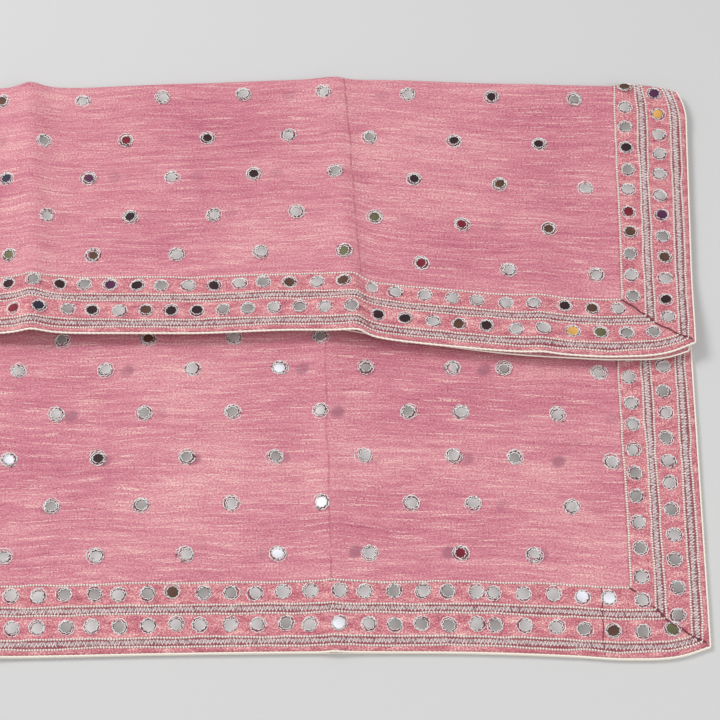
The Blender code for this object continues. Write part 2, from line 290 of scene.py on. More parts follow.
def maths(tree, operation, a, b=0.0, c=0.0):
    """The output of one Math node."""
    return node(tree, "ShaderNodeMath", {0: a, 1: b, 2: c}, operation=operation).outputs[0]


def stretched_noise(tree, uv, scale_u, scale_v, detail, shift=0.0):
    """Noise over the cut, finer along one of its ways than along the other."""
    sizes = {"Vector": uv, "Scale": (scale_u, scale_v, 1), "Location": (shift, shift, 0)}
    placed = node(tree, "ShaderNodeMapping", sizes)
    settings = {"Vector": placed.outputs[0], "Scale": 1.0, "Detail": detail, "Roughness": 0.6}
    return node(tree, "ShaderNodeTexNoise", settings).outputs["Fac"]


def srgb(red, green, blue):
    """A colour given as screen values of 0 to 255, in the renderer's linear values."""
    values = np.array([red, green, blue]) / 255
    return tuple(np.where(values <= 0.04045, values / 12.92, ((values + 0.055) / 1.055) ** 2.4)) + (1.0,)


def ramp(tree, factor, stops):
    """A colour ramp through (place, colour) stops."""
    made = node(tree, "ShaderNodeValToRGB", {"Fac": factor})
    elements = made.color_ramp.elements
    while len(elements) < len(stops):
        elements.new(0.5)
    for element, (place, colour) in zip(elements, stops):
        element.position = place
        element.color = colour
    return made.outputs["Color"]


def principled(name, **inputs):
    """A material, its tree and its shader, with constants set on the shader."""
    made = bpy.data.materials.new(name)
    made.use_nodes = True
    shader = made.node_tree.nodes["Principled BSDF"]
    for key, value in inputs.items():
        shader.inputs[key.replace("_", " ")].default_value = value
    return made, made.node_tree, shader


# Silk tones from mauve to peach: the mauve end is partly painted shade and the peach end partly painted sheen
# of the crinkles.
SILK_STOPS = (
    (0.12, srgb(158, 78, 101)),
    (0.36, srgb(192, 111, 130)),
    (0.56, srgb(210, 137, 149)),
    (0.84, srgb(236, 188, 184)),
)
STREAK_HIGHLIGHT_COLOUR = srgb(242, 204, 193)
GHOST_COLOUR = srgb(158, 98, 116)
# Colour of the painted shade line along a pressed crease.
CREASE_SHADE_COLOUR = srgb(170, 84, 100)
# Noises in the silk: features to a metre along the stole and up the cut, then levels of detail.
BROAD_CLOUDS = (6, 15, 2)
LONG_STREAKS = (13, 190, 2)
SHORT_STREAKS = (75, 560, 2)
PALE_HIGHLIGHT_STREAKS = (26, 560, 1)
WEAVE = (640, 900, 1)
STREAK_WANDER = 14 * MM
# The lattice that shows through from beneath: pitches and soft radii in millimetres, and its lean.
GHOST_PITCH_U, GHOST_PITCH_V = 77.0, 44.5
GHOST_RADII = (3.5, 8.0)
GHOST_LEAN = 0.20
GHOST_START = 24 * MM
# Painted shade line along a pressed crease: how far it strays, and its strongest share.
CREASE_SHADE_STRAY = 5 * MM
CREASE_SHADE_SHARE = 0.6


def clamp_step(tree, value, low, high, top=1.0):
    """0 below low and top above high, with a soft step between them."""
    inputs = {0: value, 1: low, 2: high, 3: 0.0, 4: top}
    return node(tree, "ShaderNodeMapRange", inputs, interpolation_type="SMOOTHSTEP").outputs[0]


def mixed(tree, factor, under, over):
    """Two colours mixed."""
    return node(tree, "ShaderNodeMix", {0: factor, 6: under, 7: over}, data_type="RGBA").outputs[2]


def waved_cut(tree):
    """The cut's own distances, with the way up the cut gently waved, so that streaks wander."""
    uv = node(tree, "ShaderNodeUVMap", uv_map="cut").outputs[0]
    axes = node(tree, "ShaderNodeSeparateXYZ", {"Vector": uv})
    slow = stretched_noise(tree, uv, 9, 14, 1)
    wander = maths(tree, "MULTIPLY_ADD", slow, STREAK_WANDER, -STREAK_WANDER / 2)
    waved = maths(tree, "ADD", axes.outputs[1], wander)
    return axes, node(tree, "ShaderNodeCombineXYZ", {0: axes.outputs[0], 1: waved, 2: 0.0}).outputs[0]


def ghost_spots(tree, axes, cut, strength, shift):
    """Share of shadow over the mirrors of the layer beneath: round spots in the same half-drop lattice."""
    rows = maths(tree, "DIVIDE", maths(tree, "ADD", axes.outputs[1], -GHOST_START), GHOST_PITCH_V * MM)
    lean = maths(tree, "MULTIPLY", axes.outputs[1], GHOST_LEAN)
    columns = maths(tree, "DIVIDE", maths(tree, "ADD", axes.outputs[0], lean), GHOST_PITCH_U * MM)
    columns = maths(tree, "MULTIPLY_ADD", maths(tree, "FLOOR", rows), 0.5, columns)
    away_u = maths(tree, "MULTIPLY", maths(tree, "ADD", maths(tree, "FRACT", columns), -0.5), GHOST_PITCH_U)
    away_v = maths(tree, "MULTIPLY", maths(tree, "ADD", maths(tree, "FRACT", rows), -0.5), GHOST_PITCH_V)
    squares = maths(tree, "MULTIPLY_ADD", away_u, away_u, maths(tree, "MULTIPLY", away_v, away_v))
    spot = maths(tree, "SUBTRACT", 1.0, clamp_step(tree, maths(tree, "SQRT", squares), *GHOST_RADII))
    patchy = clamp_step(tree, stretched_noise(tree, cut, 14, 14, 1, shift), 0.42, 0.62, strength)
    return maths(tree, "MULTIPLY", spot, patchy)


def crease_shade_line(tree, axes, cut, at, shift):
    """Share of a thin line of painted shade along a pressed crease across the cloth, patchy along it."""
    slow = stretched_noise(tree, cut, 3, 26, 1, shift)
    stray = maths(tree, "MULTIPLY_ADD", slow, CREASE_SHADE_STRAY, axes.outputs[0])
    away = maths(tree, "ABSOLUTE", maths(tree, "ADD", stray, -at - CREASE_SHADE_STRAY / 2))
    line = maths(tree, "SUBTRACT", 1.0, clamp_step(tree, away, 0.3 * MM, 1.3 * MM))
    patchy = clamp_step(tree, stretched_noise(tree, cut, 3, 60, 2, shift), 0.3, 0.6, CREASE_SHADE_SHARE)
    return maths(tree, "MULTIPLY", line, patchy)


def silk_material(name, ghost_strength, streak_strength, crease_at, shift):
    """Crushed tissue silk: rose, with a fine woven speckle, pale peach streaks that are painted highlights
    where its crinkles catch the light, mauve between them that is partly painted shade, and the mirrors of
    the layer beneath showing faintly through."""
    made, tree, shader = principled(
        name, Roughness=0.55, Metallic=0.0, Specular_IOR_Level=0.22, Sheen_Weight=0.06, Sheen_Roughness=0.4
    )
    axes, cut = waved_cut(tree)
    broad = stretched_noise(tree, cut, *BROAD_CLOUDS, shift)
    long_streaks = stretched_noise(tree, cut, *LONG_STREAKS, shift)
    short_streaks = stretched_noise(tree, cut, *SHORT_STREAKS, shift)
    weave = stretched_noise(tree, cut, *WEAVE, shift)
    total = maths(tree, "MULTIPLY_ADD", long_streaks, 0.50, -0.75)
    total = maths(tree, "MULTIPLY_ADD", short_streaks, 0.45, total)
    total = maths(tree, "MULTIPLY_ADD", broad, 0.55, total)
    total = maths(tree, "MULTIPLY_ADD", weave, 1.0, total)
    colour = ramp(tree, total, SILK_STOPS)
    # Painted highlight: pale peach streaks where the crinkles would catch the light.
    pale = clamp_step(tree, stretched_noise(tree, cut, *PALE_HIGHLIGHT_STREAKS, shift + 5), 0.57, 0.69)
    pale = maths(tree, "MULTIPLY", pale, clamp_step(tree, weave, 0.36, 0.58, streak_strength))
    colour = mixed(tree, pale, colour, STREAK_HIGHLIGHT_COLOUR)
    colour = mixed(tree, ghost_spots(tree, axes, cut, ghost_strength, shift), colour, GHOST_COLOUR)
    # Painted shade: a thin darker line along one pressed crease.
    colour = mixed(tree, crease_shade_line(tree, axes, cut, crease_at, shift), colour, CREASE_SHADE_COLOUR)
    tree.links.new(colour, shader.inputs["Base Color"])
    relief = maths(tree, "MULTIPLY_ADD", short_streaks, 0.6, maths(tree, "MULTIPLY", weave, 0.22))
    relief = maths(tree, "MULTIPLY_ADD", long_streaks, 0.9, relief)
    bump = node(tree, "ShaderNodeBump", {"Height": relief, "Strength": 0.45, "Distance": 1.1 * MM})
    tree.links.new(bump.outputs[0], shader.inputs["Normal"])
    return made


flap_silk = silk_material(
    "flap_silk", ghost_strength=0.30, streak_strength=0.66, crease_at=283 * MM, shift=0.0
)
panel_silk = silk_material(
    "panel_silk", ghost_strength=0.75, streak_strength=0.80, crease_at=311 * MM, shift=3.0
)

# The sheets start under the bands, a little inside the edge cord. Their rows and columns are close where the
# cloth shows or turns, and wide where it lies flat and hidden.
SHEET_INSET = 1 * MM
COLUMN_STEP = 7 * MM
FINE_ROW_STEP = 2.4 * MM
BACK_DEPTH = 570 * MM
half_turn = FOLD_R * math.pi / 2
columns = spread((SHEET_INSET, FLAT_LENGTH, COLUMN_STEP), (FLAT_LENGTH, FLAT_LENGTH + half_turn, 0.6 * MM))
roll_end = FLAP_FLAT + math.pi * ROLL_R


def whole_half(flap_rows, panel_rows, inner):
    """Points of one half of the cloth, flap hem to panel hem, with its cut distances."""
    back = fold(across(columns, 0.0)[0]) - ROLL_R - panel_hem(across(columns, 0.0)[0])
    panel_t = panel_rows[::-1][:, None]
    stretch = (back - PANEL_DEPTH) / (BACK_DEPTH - PANEL_DEPTH)
    panel_t = np.where(panel_t > PANEL_DEPTH, PANEL_DEPTH + (panel_t - PANEL_DEPTH) * stretch, panel_t)
    top = lay_flap(columns[None, :], flap_rows[:, None], 0.0, inner)
    base = lay_panel(columns[None, :], panel_t[1:], 0.0, inner)
    points = np.concatenate([top, base])
    along = np.concatenate([flap_rows, CUT_WIDTH - panel_rows[::-1][1:]])
    uv = np.stack(np.broadcast_arrays(columns[None, :], along[:, None]), -1)
    return points, uv


fine_flap = spread((SHEET_INSET, FLAP_FLAT, FINE_ROW_STEP), (FLAP_FLAT, roll_end, 1.6 * MM))
coarse_flap = spread(
    (SHEET_INSET, BORDER, 9 * MM), (BORDER, FLAP_FLAT, 18 * MM), (FLAP_FLAT, roll_end, 2 * MM)
)
fine_panel = spread((SHEET_INSET, PANEL_DEPTH, FINE_ROW_STEP), (PANEL_DEPTH, BACK_DEPTH, 20 * MM))
coarse_panel = spread((SHEET_INSET, BORDER, 10 * MM), (BORDER, BACK_DEPTH, 20 * MM))

points, uv = whole_half(fine_flap, coarse_panel, inner=False)
outer_half = add_mesh("outer_half", points, grid_faces(len(points), len(columns)), flap_silk, uv)
thicken(outer_half, SILK_WALL)
points, uv = whole_half(coarse_flap, fine_panel, inner=True)
uv = np.stack([uv[..., 0], CUT_WIDTH - uv[..., 1]], -1)
inner_half = add_mesh("inner_half", points, grid_faces(len(points), len(columns), flip=True), panel_silk, uv)
thicken(inner_half, SILK_WALL)
for piece in (outer_half, inner_half):
    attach(piece, "root")
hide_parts("flap_cloth")
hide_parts("panel_cloth", "hidden_layers")

# ---- Foil mirrors ----
# Round silver foil mirrors of about 9 to 11 mm, in a half-drop lattice on the field and in two rows on each
# border. Each is flat; its colour is a painted reflection of what it happens to reflect, a little lighter on
# one side.
MIRROR_SIDES = 20
FIELD_MIRROR_R = 4.7 * MM
BORDER_MIRROR_R = 4.95 * MM
MIRROR_WALL = 0.6 * MM
DISC_REACH = 5 * MM
MIRROR_SIZES = (0.92, 1.06)
MIRROR_LEAN = 1.0
REFLECTED_FALL = 0.16
MIRROR_STEP = 23.3 * MM
MITRE_CLEAR = MIRROR_STEP * 0.55
MITRE_MIRROR_BACK = 2 * MM
FOLD_MARGIN = 4 * MM
SEWN_STRAY = 0.9 * MM
END_STEPS = {"flap": 21.9 * MM, "panel": 23.6 * MM}
MIRROR_LINES = (25.2 * MM, 54.3 * MM)
FIELD_LIFT = 0.25 * MM
BORDER_LIFT = 1.05 * MM
# The embroidered length of the panel's hem starts again here, so two mirrors of each row nearly touch.
JOINT_S = 184 * MM
JOINT_HALF_GAP = 7.4 * MM
JOINT_STEPS = (24.0 * MM, 22.7 * MM)
# Rows of the field lattice: distance from the hem, then the places along the stole of the two mirrors on
# either side of the crease (or of the embroidery's joint); the others follow at the row's two pitches.
FLAP_LATTICE = ((272, 270, 351), (223, 237, 314), (179, 282, 356), (134, 246, 319), (90, 291, 361))
PANEL_LATTICE = (
    (302, 346, 424), (270, 387, 433), (226, 347, 394), (182, 386, 439), (137, 349, 402), (90, 390, 452),
)
# Painted reflections of the mirrors: light, grey, white, dark, brown, navy, red, olive, plum and gold.
REFLECTION_TONES = {
    "l": srgb(188, 183, 182), "g": srgb(154, 149, 147), "w": srgb(232, 232, 240), "d": srgb(56, 38, 42),
    "b": srgb(92, 66, 56), "n": srgb(52, 48, 66), "r": srgb(122, 38, 52), "o": srgb(104, 102, 74),
    "p": srgb(88, 46, 78), "y": srgb(222, 170, 96),
}
LETTERS = "lgwdbnropy"
FLAP_SHARES = (33, 24, 2, 15, 10, 4, 6, 4, 2, 0)
PANEL_SHARES = (64, 26, 5, 1, 3, 0, 1, 0, 0, 0)


def place_to_s(lay, x, t):
    """Distance from the cut end at which the laid cloth is at x."""
    s = END_X - x
    for _ in range(4):
        s = s + lay(s, t)[..., 0] - x
    return s


def lattice(lay, rows, left_pitch, right_pitch, last_x):
    """Mirror places (s, t) of a field, row by row from its cut end to the halfway fold."""
    found = []
    for t, left, right in rows:
        right_part = np.arange(right, last_x, right_pitch)
        left_part = np.arange(left, HALF_FOLD_X / MM + 12, -left_pitch)
        laid = np.sort(np.concatenate([right_part, left_part]))[::-1] * MM
        t_here = np.full(len(laid), t * MM)
        found.append(np.stack([place_to_s(lay, laid, t_here), t_here], 1))
    return np.concatenate(found)


def border_places(top, up_step, joint, seed):
    """Mirror places (s, t) on a hem border and on its end border, kept clear of the mitre, spaced as given.
    """
    rng = np.random.default_rng(seed)
    found = []
    for line in MIRROR_LINES:
        along = np.arange(line + MITRE_CLEAR, FLAT_LENGTH - FOLD_MARGIN, MIRROR_STEP)
        if joint:
            before = np.arange(joint - JOINT_HALF_GAP, line + 5 * MM, -JOINT_STEPS[0])[::-1]
            after = np.arange(joint + JOINT_HALF_GAP, FLAT_LENGTH - FOLD_MARGIN, JOINT_STEPS[1])
            along = np.concatenate([before, after])
        found.append(np.stack([along + rng.normal(0, SEWN_STRAY, len(along)), np.full(len(along), line)], 1))
        # One mirror of the panel's inner line sits on the mitre.
        on_mitre = joint and line == MIRROR_LINES[1]
        first = line - MITRE_MIRROR_BACK if on_mitre else line + MITRE_CLEAR
        up = np.arange(first, top, up_step)
        found.append(np.stack([np.full(len(up), line), up + rng.normal(0, SEWN_STRAY, len(up))], 1))
    places = np.concatenate(found)
    return places + rng.normal(0, 0.5 * MM, places.shape)


def surface_frame(lay, places, lift, step=0.7 * MM):
    """Points on the laid cloth and the ways there: along the stole, up the cut and out of the face.

    The ways come from points one step to each side, so a wide step smooths the crinkles out of them.
    """
    s, t = places[..., 0], places[..., 1]
    along = lay(s + step, t, lift) - lay(s - step, t, lift)
    up = lay(s, t + step, lift) - lay(s, t - step, lift)
    out = np.cross(up, along)
    out /= np.linalg.norm(out, axis=-1, keepdims=True)
    right = -along / np.linalg.norm(along, axis=-1, keepdims=True)
    return lay(s, t, lift), right, np.cross(out, right), out


def add_tones(piece, colours):
    """Stores one colour for each point, as the piece's tone attribute."""
    layer = piece.data.attributes.new("tone", "FLOAT_COLOR", "POINT")
    layer.data.foreach_set("color", colours.astype(np.float32).ravel())


def toned_material(name, **inputs):
    """A material whose colour is its piece's own tone attribute."""
    made, tree, shader = principled(name, **inputs)
    tone = node(tree, "ShaderNodeAttribute", attribute_name="tone", attribute_type="GEOMETRY")
    tree.links.new(tone.outputs["Color"], shader.inputs["Base Color"])
    return made


def add_mirrors(name, lay, places, lift, mean_r, astray, tones, seed):
    """Flat discs: an irregular circle at two heights, each disc a little astray and tilted at random."""
    rng = np.random.default_rng(seed)
    count = len(places)
    sewn = places + rng.normal(0, astray, places.shape)
    middle, right, up, out = surface_frame(lay, sewn, lift, DISC_REACH)
    angle = np.arange(MIRROR_SIDES) * 2 * math.pi / MIRROR_SIDES
    uneven = 1 + 0.02 * rng.uniform(-1, 1, (count, MIRROR_SIDES))
    radius = mean_r * rng.uniform(*MIRROR_SIZES, (count, 1)) * uneven
    a, b = radius * np.cos(angle), radius * np.sin(angle)
    lean = np.radians(rng.normal(0, MIRROR_LEAN, (count, 2)))
    rings = []
    for height in (0.0, MIRROR_WALL):
        h = height + a * lean[:, :1] + b * lean[:, 1:]
        ring = middle[:, None] + a[..., None] * right[:, None] + b[..., None] * up[:, None]
        rings.append(ring + h[..., None] * out[:, None])
    size = 2 * MIRROR_SIDES
    i = np.arange(MIRROR_SIDES)
    after = (i + 1) % MIRROR_SIDES
    sides = np.stack([i, after, MIRROR_SIDES + after, MIRROR_SIDES + i], 1)
    flats = np.stack([i[::-1], MIRROR_SIDES + i])
    shifts = np.arange(count)[:, None, None] * size
    faces = (sides[None] + shifts).reshape(-1, 4).tolist()
    faces += (flats[None] + shifts).reshape(-1, MIRROR_SIDES).tolist()
    piece = add_mesh(name, np.concatenate(rings, 1), faces, mirror_foil)
    piece.data.shade_flat()
    # Painted reflection: each disc a little lighter on one side and darker on the other.
    shade = 1 + REFLECTED_FALL * np.cos(np.tile(angle, 2) - rng.uniform(0, 2 * math.pi, (count, 1)))
    colours = np.array([REFLECTION_TONES[tone] for tone in tones])[:, None] * shade[..., None]
    add_tones(piece, np.clip(colours, 0, 1))
    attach(piece, "root")


def random_tones(count, shares, seed):
    """Tone letters drawn at random."""
    return np.random.default_rng(seed).choice(list(LETTERS), count, p=np.array(shares) / sum(shares))


mirror_foil = toned_material("mirror_foil", Roughness=0.5, Metallic=0.2, Specular_IOR_Level=0.2)
flap_field = lattice(lay_flap, FLAP_LATTICE, left_pitch=77, right_pitch=80, last_x=545)
panel_field = lattice(lay_panel, PANEL_LATTICE, left_pitch=77, right_pitch=84, last_x=535)
flap_edge = border_places(FLAP_FLAT + 6 * MM, END_STEPS["flap"], joint=0, seed=7)
panel_edge = border_places(PANEL_DEPTH - 4 * MM, END_STEPS["panel"], joint=JOINT_S, seed=8)
# Lift, radius and how far astray, in the field (True) and on the borders.
MIRROR_SETTING = {
    True: (FIELD_LIFT, FIELD_MIRROR_R, 0.5 * MM),
    False: (BORDER_LIFT, BORDER_MIRROR_R, 0.25 * MM),
}
# Tones listed for border mirrors near the cut ends: the line, the first place from the corner in
# millimetres, whether the line goes up the end, the pitch, and a letter for each mirror in order.
BORDER_TONES = {
    "flap_border_mirrors": (
        (MIRROR_LINES[0], 38, True, 21.9, "ldlbgpllllyp"),
        (MIRROR_LINES[1], 67, True, 21.9, "glgbrlgdglb"),
        (MIRROR_LINES[0], 38, False, 23.3, "ggoylldbldd"),
        (MIRROR_LINES[1], 67, False, 23.3, "lbdlllllll"),
    ),
    "panel_border_mirrors": (
        (MIRROR_LINES[0], 32.6, False, 24, "ogbgl"),
        (MIRROR_LINES[1], 80.6, False, 24, "wwll"),
    ),
}
# The same on the field, row by row of the lattice, from the cut end.
FIELD_TONES = {
    "flap_field_mirrors": ("gdlllllb", "ddgldrg", "lbdgdlpn", "brolldl", "llrollbo"),
    "panel_field_mirrors": ("bgl", "lglg", "llgl", "lgll", "lllw", "lrlwlll"),
}


def placed_tones(name, places, shares, seed):
    """Tones drawn at random, then the listed ones, each for the mirror nearest its place."""
    tones = random_tones(len(places), shares, seed)
    for line, first, up, pitch, letters in BORDER_TONES.get(name, ()):
        for number, letter in enumerate(letters):
            along = (first + number * pitch) * MM
            place = (line, along) if up else (along, line)
            tones[np.hypot(*(places - place).T).argmin()] = letter
    rows = FIELD_TONES.get(name, ())
    starts = np.flatnonzero(np.diff(places[:, 1], prepend=0)) if rows else ()
    for start, letters in zip(starts, rows):
        tones[start:start + len(letters)] = list(letters)
    return tones


for name, lay, places, shares, field, seed in (
    ("flap_field_mirrors", lay_flap, flap_field, FLAP_SHARES, True, 21),
    ("panel_field_mirrors", lay_panel, panel_field, PANEL_SHARES, True, 22),
    ("flap_border_mirrors", lay_flap, flap_edge, FLAP_SHARES, False, 23),
    ("panel_border_mirrors", lay_panel, panel_edge, PANEL_SHARES, False, 24),
):
    lift, mean_r, astray = MIRROR_SETTING[field]
    tones = placed_tones(name, places, shares, seed)
    add_mirrors(name, lay, places, lift, mean_r, astray, tones, seed)

# ---- Thread rings ----
# Loops of silver thread hold each mirror, the inner one over its rim; they are worked in small stitches, so
# each is beaded and swings in and out, with maroon between them that is partly thread and partly painted
# shade. Some field rings keep a loose tail.
RING_POINTS = 36
RING_STITCHES = 9
# Loops as radius, height and thread radius in millimetres, then the maroon grounds' inner and outer radius.
FIELD_LOOPS = ((4.9, 0.95, 0.50), (6.3, 0.75, 0.52), (7.4, 0.45, 0.42))
BORDER_LOOPS = ((5.4, 0.85, 0.48), (6.7, 0.50, 0.52))
FIELD_GROUND = (4.4, 6.2)
BORDER_GROUND = (4.5, 6.4)
GROUND_WALL = 0.35
# Random swings in millimetres: from stitch to stitch, from point to point, and up and down.
STITCH_SWING = 0.40 * MM
ROUGH_SWING = 0.22 * MM
RISE_SWING = 0.25 * MM
SQUASH = 0.09
BEAD_SWELL, BEAD_WAIST = 1.25, 0.70
TAIL_SHARE = 0.22
TAIL_POINTS = 7
TAIL_START = 5.5 * MM
TAIL_REACH = (4.5 * MM, 9 * MM)
TAIL_BEND = 3 * MM
TAIL_R = 0.24 * MM
# Silver thread tones drawn at random: the lighter and darker silvers are painted glints and shade, the maroon
# partly thread and partly painted shade.
SILVER_GLINT_AND_SHADE_TONES = np.array([srgb(250, 247, 246), srgb(228, 218, 216), srgb(184, 166, 166), srgb(112, 62, 74)])
SILVER_SHARES = (0.62, 0.24, 0.08, 0.06)


def tube_faces(tubes, length, sides, closed):
    """Faces of equal tubes, each ring of points joined to the next, with end caps where they are open."""
    ring = np.arange(length if closed else length - 1)[:, None]
    k = np.arange(sides)
    here, there = ring * sides, (ring + 1) % length * sides
    quads = np.stack([here + k, here + (k + 1) % sides, there + (k + 1) % sides, there + k], -1)
    shifts = np.arange(tubes)[:, None, None] * length * sides
    faces = (quads.reshape(-1, 4)[None] + shifts).reshape(-1, 4).tolist()
    if not closed:
        caps = np.stack([k[::-1], (length - 1) * sides + k])
        faces += (caps[None] + shifts).reshape(-1, sides).tolist()
    return faces


def sweep(path, out, radius, sides, closed=False):
    """Points of tubes along paths: circles square to each path, with the cloth's outward way as their top."""
    if closed:
        tangent = np.roll(path, -1, 1) - np.roll(path, 1, 1)
    else:
        tangent = np.gradient(path, axis=1)
    side = np.cross(tangent, out)
    side /= np.linalg.norm(side, axis=-1, keepdims=True)
    top = np.cross(side, tangent)
    top /= np.linalg.norm(top, axis=-1, keepdims=True)
    angle = np.arange(sides) * 2 * math.pi / sides
    spoke = np.cos(angle)[:, None] * side[:, :, None] + np.sin(angle)[:, None] * top[:, :, None]
    return path[:, :, None] - np.broadcast_to(radius, path.shape[:2] + (sides,))[..., None] * spoke


def thread_tones(rng, count, sides):
    """One tone drawn at random for each ring of a tube's points, as painted glints and shade."""
    return np.repeat(SILVER_GLINT_AND_SHADE_TONES[rng.choice(len(SILVER_GLINT_AND_SHADE_TONES), count, p=SILVER_SHARES)], sides, axis=0)


def add_rings(name, lay, places, lift, loops, seed):
    """Loops round every mirror: circles squashed and shifted at random, swinging in and out by stitches."""
    rng = np.random.default_rng(seed)
    count = len(places)
    middle, right, up, out = surface_frame(lay, places, lift, DISC_REACH)
    angle = np.arange(RING_POINTS) * 2 * math.pi / RING_POINTS
    paths, radii = [], []
    for number, (radius, height, thread_r) in enumerate(loops):
        phase = rng.uniform(0, 2 * math.pi, (count, 1))
        squash = rng.uniform(0.0, SQUASH, (count, 1))
        stitch = STITCH_SWING * np.cos(RING_STITCHES * angle + math.pi * number + phase)
        rough = ROUGH_SWING * rng.uniform(-1, 1, (count, RING_POINTS))
        r = radius * MM * (1 + squash * np.cos(2 * (angle + phase))) + stitch + rough
        shift = rng.normal(0, (0.25 + 0.15 * number) * MM, (count, 2, 1))
        a, b = r * np.cos(angle) + shift[:, 0], r * np.sin(angle) + shift[:, 1]
        h = height * MM + RISE_SWING * rng.uniform(-1, 1, (count, RING_POINTS))
        flat = middle[:, None] + a[..., None] * right[:, None] + b[..., None] * up[:, None]
        paths.append(flat + h[..., None] * out[:, None])
        beaded = thread_r * MM * np.where(np.arange(RING_POINTS) % 2, BEAD_SWELL, BEAD_WAIST)
        radii.append(np.broadcast_to(beaded[None, :, None], (count, RING_POINTS, 1)))
    path = np.concatenate(paths)
    outs = np.broadcast_to(np.concatenate([out] * len(loops))[:, None], path.shape)
    points = sweep(path, outs, np.concatenate(radii), 3, closed=True)
    piece = add_mesh(name, points, tube_faces(len(path), RING_POINTS, 3, True), silver_thread)
    add_tones(piece, thread_tones(rng, len(path) * RING_POINTS, 3))
    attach(piece, "root")


def add_ring_grounds(name, lay, places, lift, inner_r, outer_r, seed):
    """Maroon seen between the loops, partly thread and partly painted shade in the gap round the disc: flat
    rings, uneven at their outer edge, with a small wall.
    """
    rng = np.random.default_rng(seed)
    count = len(places)
    middle, right, up, out = surface_frame(lay, places, lift, DISC_REACH)
    angle = np.arange(MIRROR_SIDES) * 2 * math.pi / MIRROR_SIDES
    rings = []
    for radius, height in ((inner_r, 0.0), (inner_r, GROUND_WALL), (outer_r, GROUND_WALL), (outer_r, 0.0)):
        frayed = radius == outer_r and height
        uneven = 1 + 0.05 * rng.uniform(-1, 1, (count, MIRROR_SIDES)) if frayed else 1.0
        r = radius * MM * uneven * np.ones((count, MIRROR_SIDES))
        a, b = r * np.cos(angle), r * np.sin(angle)
        flat = middle[:, None] + a[..., None] * right[:, None] + b[..., None] * up[:, None]
        rings.append(flat + height * MM * out[:, None])
    i = np.arange(MIRROR_SIDES)
    after = (i + 1) % MIRROR_SIDES
    level = (np.arange(4) * MIRROR_SIDES)[:, None]
    following = (np.arange(1, 5) % 4 * MIRROR_SIDES)[:, None]
    quads = np.stack([level + i, following + i, following + after, level + after], -1).reshape(-1, 4)
    faces = (quads[None] + np.arange(count)[:, None, None] * 4 * MIRROR_SIDES).reshape(-1, 4)
    piece = add_mesh(name, np.concatenate(rings, 1), faces, maroon_thread_and_shade)
    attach(piece, "root")


def add_tails(name, lay, places, lift, seed):
    """Loose ends of thread at some rings: short quadratic curves out from the ring over the cloth."""
    rng = np.random.default_rng(seed)
    kept = places[rng.uniform(size=len(places)) < TAIL_SHARE]
    middle, right, up, out = surface_frame(lay, kept, lift)
    along = np.linspace(0, 1, TAIL_POINTS)
    way = rng.uniform(0, 2 * math.pi, (len(kept), 1))
    reach = rng.uniform(*TAIL_REACH, (len(kept), 1))
    bend = rng.uniform(-TAIL_BEND, TAIL_BEND, (len(kept), 1))
    a = (TAIL_START + reach * along) * np.cos(way) - bend * along**2 * np.sin(way)
    b = (TAIL_START + reach * along) * np.sin(way) + bend * along**2 * np.cos(way)
    h = 0.5 * MM * (1 - along) + 0.35 * MM
    flat = middle[:, None] + a[..., None] * right[:, None] + b[..., None] * up[:, None]
    path = flat + np.broadcast_to(h, a.shape)[..., None] * out[:, None]
    outs = np.broadcast_to(out[:, None], path.shape)
    points = sweep(path, outs, TAIL_R, 3)
    piece = add_mesh(name, points, tube_faces(len(kept), TAIL_POINTS, 3, False), silver_thread)
    add_tones(piece, thread_tones(rng, len(kept) * TAIL_POINTS, 3))
    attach(piece, "root")


silver_thread = toned_material("silver_thread", Roughness=0.4, Metallic=0.05)
# Maroon of the ring grounds: partly thread, partly painted shade between disc and loops.
maroon_thread_and_shade, _, _ = principled("maroon_thread_and_shade", Base_Color=srgb(122, 58, 74), Roughness=0.7)
# Lift, loops and ground in the field (True) and on the borders.
RING_SETTING = {
    True: (FIELD_LIFT, FIELD_LOOPS, FIELD_GROUND),
    False: (BORDER_LIFT, BORDER_LOOPS, BORDER_GROUND),
}
for label, lay, places, field, seed in (
    ("flap_field", lay_flap, flap_field, True, 41),
    ("panel_field", lay_panel, panel_field, True, 42),
    ("flap_border", lay_flap, flap_edge, False, 43),
    ("panel_border", lay_panel, panel_edge, False, 44),
):
    lift, loops, ground = RING_SETTING[field]
    add_rings(label + "_rings", lay, places, lift, loops, seed)
    add_ring_grounds(label + "_ring_grounds", lay, places, lift, *ground, seed + 10)
    if field:
        add_tails(label + "_tails", lay, places, lift, seed + 20)

# ---- Border bands ----
# Bands of the same silk laid on the edges, mitred at the corner, peachier from their gold thread, and maroon
# under the two stripes of zigzag, partly painted shade. A dark tube along each mitre's seam is the painted
# shade of its overlap.
BAND_LIFT = 0.8 * MM
BAND_WALL = 0.5 * MM
BAND_INSET = 1.5 * MM
BAND_ROW_STEP = 2.2 * MM
BAND_COLUMN_STEP = 4.5 * MM
# Stripes under the zigzags, in millimetres from the edge: maroon that is partly ground and partly painted
# shade.
STRIPES = ((6.4, 14.6), (35.5, 43.3))
STRIPE_SHARE = 0.68
STRIPE_GROUND_AND_SHADE_COLOUR = srgb(118, 44, 58)
BAND_STOPS = (
    (0.16, srgb(138, 62, 80)),
    (0.38, srgb(186, 103, 116)),
    (0.56, srgb(209, 135, 143)),
    (0.80, srgb(247, 208, 197)),
)


